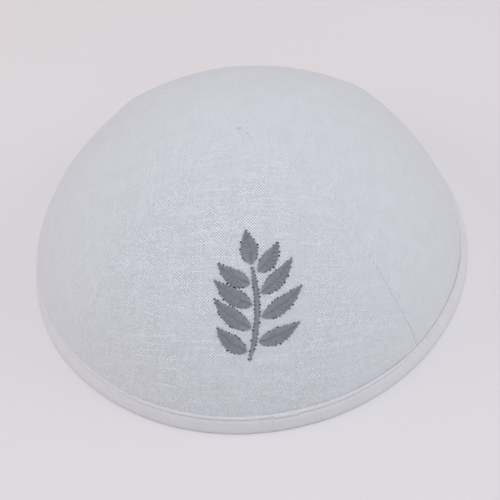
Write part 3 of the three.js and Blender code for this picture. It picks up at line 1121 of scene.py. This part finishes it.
def linen_material(name, colour, contrast):
    """Plain-woven linen: warp and weft cross over and under, with slubs along single threads. Its colour
    carries painted shade between the threads and painted light and shade on the crossings
    """
    material, tree, shader = new_material(name, colour, 0.92, 0.12, 0.25)
    pitch = settings().kippah_finish.weave / MM
    flat = grain_place(tree)
    wander = noise_node(tree, flat, 0.11).outputs["Color"]
    drifting = (wander, (1.6, 1.6, 0.0), flat)
    drifted = result(tree, "ShaderNodeVectorMath", drifting, operation="MULTIPLY_ADD")
    across, up = add_node(tree, "ShaderNodeSeparateXYZ", Vector=drifted).outputs[:2]
    warp, weft = calc(tree, "DIVIDE", across, pitch), calc(tree, "DIVIDE", up, pitch)
    warp_wave = calc(tree, "SINE", calc(tree, "MULTIPLY", warp, math.pi))
    weft_wave = calc(tree, "SINE", calc(tree, "MULTIPLY", weft, math.pi))
    crossing = calc(tree, "MULTIPLY", warp_wave, weft_wave)
    mound = calc(tree, "POWER", calc(tree, "ABSOLUTE", crossing), 0.45)
    over = calc(tree, "GREATER_THAN", crossing, 0.0)
    warp, weft = calc(tree, "FLOOR", warp), calc(tree, "FLOOR", weft)
    body, slub = thread_body(tree, over, across, up, warp, weft)
    cell = combine(tree, warp, weft)
    white = add_node(tree, "ShaderNodeTexWhiteNoise", noise_dimensions="2D", Vector=cell)
    chance = white.outputs["Value"]
    patch = remap(tree, noise_value(tree, flat, 0.07), 0.35, 0.62, 0.5, 1.02)
    # painted light and shade: crossings with the warp on top and with the weft on top differ in
    # brightness, by a random amount in patches
    least, spread = (share * contrast for share in CROSSING_PAINTED_LIGHT)
    uneven = calc(tree, "MULTIPLY", calc(tree, "MULTIPLY_ADD", chance, spread, least), patch)
    # painted shade: the gaps between the threads are darker than their crests
    shade = calc(tree, "MULTIPLY_ADD", mound, CREST_PAINTED_SHADE, -0.6 * CREST_PAINTED_SHADE)
    shade = calc(tree, "MULTIPLY_ADD", crossing, uneven, shade)
    chance = calc(tree, "SUBTRACT", chance, 0.5)
    shade = calc(tree, "MULTIPLY_ADD", chance, CHANCE_SHADE * contrast, shade)
    streak = calc(tree, "MULTIPLY_ADD", slub, 0.9, body)
    shade = calc(tree, "MULTIPLY_ADD", streak, STREAK_SHADE * contrast, shade)
    clouds = remap(tree, noise_value(tree, flat, 0.16, 3.0), 0.3, 0.7, 0.98, 1.02)
    # the weave's painted shade and light and its threads' tone fade from the front to the sides and back
    front = front_share(tree)
    paint(tree, shader, colour, calc(tree, "MULTIPLY_ADD", shade, front, clouds))
    relief = calc(tree, "MULTIPLY_ADD", body, 0.35, mound)
    relief = calc(tree, "MULTIPLY_ADD", slub, 0.5, relief)
    emboss(tree, shader, relief, calc(tree, "MULTIPLY", front, 0.8), WEAVE_RELIEF)
    return material


def thread_material(name, colour, roughness, sheen, plies):
    """Twisted thread: slanting plies, with a painted highlight on their crests"""
    material, tree, shader = new_material(name, colour, roughness, sheen, 0.4)
    along, around = add_node(tree, "ShaderNodeSeparateXYZ", Vector=grain_place(tree)).outputs[:2]
    twist = calc(tree, "MULTIPLY_ADD", along, plies, around)
    ply = calc(tree, "SINE", calc(tree, "MULTIPLY", twist, 2 * math.pi))
    patch = remap(tree, noise_value(tree, object_place(tree), 900.0), 0.3, 0.7, -0.12, 0.12)
    # painted highlight: the ply crests are a little lighter
    shade = calc(tree, "ADD", calc(tree, "MULTIPLY_ADD", ply, 0.05, 0.98), patch)
    paint(tree, shader, colour, shade)
    emboss(tree, shader, ply, 0.5, 0.03 * MM)
    return material


def patchy_material(name, colour):
    """A matt colour that is a little uneven"""
    material, tree, shader = new_material(name, colour, 1.0, 0.0, 0.0)
    patch = noise_value(tree, object_place(tree), 1500.0, 1.0)
    paint(tree, shader, colour, remap(tree, patch, 0.3, 0.7, 0.93, 1.07))
    return material


def floor_material(colour):
    """A pale matt surface with faint wide and fine unevenness"""
    material, tree, shader = new_material("floor_pale", colour, 0.85, 0.0, 0.2)
    place = object_place(tree)
    wide = remap(tree, noise_value(tree, place, 4.0, 3.0), 0.3, 0.7, 0.985, 1.015)
    fine = remap(tree, noise_value(tree, place, 700.0), 0.3, 0.7, -0.008, 0.008)
    paint(tree, shader, colour, calc(tree, "ADD", wide, fine))
    return material


# Stage


def add_camera(stage):
    """Looks at the stage's point from its angles and distance"""
    turn, rise, roll = stage.azimuth, stage.elevation, stage.roll
    level = math.cos(rise)
    back = Vector((math.sin(turn) * level, -math.cos(turn) * level, math.sin(rise)))
    right = (-back).cross(Vector((0, 0, 1))).normalized()
    upward = right.cross(-back)
    rolled_right = math.cos(roll) * right + math.sin(roll) * upward
    rolled_up = math.cos(roll) * upward - math.sin(roll) * right
    data = bpy.data.cameras.new("view")
    data.lens = stage.lens
    data.sensor_width = 36.0
    data.clip_start = 0.01
    camera = add_object("view", data)
    axes = Matrix((rolled_right, rolled_up, back)).transposed().to_4x4()
    place = Vector(stage.look_at) + back * stage.distance
    camera.matrix_world = Matrix.Translation(place) @ axes
    bpy.context.scene.camera = camera


def add_floor(colour):
    bm = bmesh.new()
    bmesh.ops.create_grid(bm, x_segments=8, y_segments=8, size=2.5)
    mesh = mesh_from(bm, "floor")
    mesh.materials.append(floor_material(colour))
    add_object("floor", mesh)


def add_softbox(name, place, size, power, colour):
    """A round soft light that shines at the cap"""
    light = bpy.data.lights.new(name, "AREA")
    light.shape = "DISK"
    light.size = size
    light.energy = power
    light.color = colour
    lamp = add_object(name, light)
    away = Vector(place)
    lamp.matrix_world = Matrix.Translation(away) @ away.to_track_quat("Z", "Y").to_matrix().to_4x4()


def add_light(stage):
    """Even light from all round, a wide light overhead and a weaker one on each side"""
    world = bpy.data.worlds.new("even_light")
    world.use_nodes = True
    background = world.node_tree.nodes["Background"]
    background.inputs["Color"].default_value = (*stage.sky, 1.0)
    background.inputs["Strength"].default_value = 1.0
    bpy.context.scene.world = world
    add_softbox("overhead", (0.04, -0.38, 1.6), 1.2, stage.overhead, (0.60, 0.80, 1.0))
    add_softbox("beside_left", (-1.3, 0.0, 0.75), 1.0, 0.86 * stage.beside, (1.0, 0.93, 0.80))
    add_softbox("beside_right", (1.3, 0.0, 0.75), 1.0, 0.95 * stage.beside, (0.94, 0.97, 0.89))


# Operators


class KIPPAH_OT_stage(bpy.types.Operator):
    """Set the camera, the pale floor and the soft light"""

    bl_idname = "kippah.stage"
    bl_label = "Stage"

    def execute(self, context):
        stage = context.scene.kippah_stage
        add_camera(stage)
        add_floor(tuple(context.scene.kippah_finish.floor))
        add_light(stage)
        context.scene.view_settings.view_transform = "Standard"
        return {"FINISHED"}


class KIPPAH_OT_crown(bpy.types.Operator):
    """Make the four linen gores of the crown"""

    bl_idname = "kippah.crown"
    bl_label = "Crown Gores"

    def execute(self, context):
        crown = Crown()
        finish = context.scene.kippah_finish
        linen = linen_material("crown_linen", tuple(finish.linen), 1.0)
        for side, middle in GORES:
            make_gore(crown, side, middle, linen)
        make_slubs(crown, patchy_material("slub_linen", tuple(finish.slub)))
        return {"FINISHED"}


class KIPPAH_OT_binding(bpy.types.Operator):
    """Make the folded strip round the rim and its stitching"""

    bl_idname = "kippah.binding"
    bl_label = "Rim Binding"

    def execute(self, context):
        crown = Crown()
        finish = context.scene.kippah_finish
        strip = linen_material("binding_linen", tuple(finish.binding), 0.15)
        make_binding(crown, strip)
        sewing = thread_material("sewing_thread", tuple(finish.sewing), 0.7, 0.1, 3.0)
        make_binding_stitches(crown, sewing)
        return {"FINISHED"}


class KIPPAH_OT_sprig(bpy.types.Operator):
    """Embroider the sprig in satin stitch on the front gore"""

    bl_idname = "kippah.sprig"
    bl_label = "Embroidered Sprig"

    def execute(self, context):
        crown, sprig = Crown(), Sprig()
        finish = context.scene.kippah_finish
        thread = thread_material("satin_thread", tuple(finish.thread), 0.5, 0.25, 4.0)
        template = strand_template()
        draw = random.Random(7)
        make_stem(crown, sprig, template, thread, draw)
        for index, row in enumerate(LEAVES, start=1):
            make_leaf(crown, sprig, index, row, template, thread, draw)
        bpy.data.meshes.remove(template)
        # near-black beads: painted shade in the needle holes
        hole_shade = patchy_material("needle_hole_painted_shade", tuple(finish.hole))
        make_needle_hole_shades(crown, sprig, hole_shade, draw)
        return {"FINISHED"}


class VIEW3D_PT_kippah(bpy.types.Panel):
    """The steps that build the kippah"""

    bl_label = "Linen Kippah"
    bl_space_type = "VIEW_3D"
    bl_region_type = "UI"
    bl_category = "Kippah"

    def draw(self, context):
        for step in STEPS:
            self.layout.operator(step.bl_idname)


GROUPS = {
    "kippah_shape": KippahShape,
    "kippah_binding": KippahBinding,
    "kippah_sprig": KippahSprig,
    "kippah_finish": KippahFinish,
    "kippah_stage": KippahStage,
}
STEPS = (KIPPAH_OT_stage, KIPPAH_OT_crown, KIPPAH_OT_binding, KIPPAH_OT_sprig)


def register():
    for name, group in GROUPS.items():
        bpy.utils.register_class(group)
        setattr(bpy.types.Scene, name, bpy.props.PointerProperty(type=group))
    for item in (*STEPS, VIEW3D_PT_kippah):
        bpy.utils.register_class(item)


def unregister():
    for item in (VIEW3D_PT_kippah, *reversed(STEPS)):
        bpy.utils.unregister_class(item)
    for name, group in reversed(GROUPS.items()):
        delattr(bpy.types.Scene, name)
        bpy.utils.unregister_class(group)


def main():
    register()
    bpy.ops.kippah.stage()
    bpy.ops.kippah.crown()
    bpy.ops.kippah.binding()
    bpy.ops.kippah.sprig()


if __name__ == "__main__":
    main()
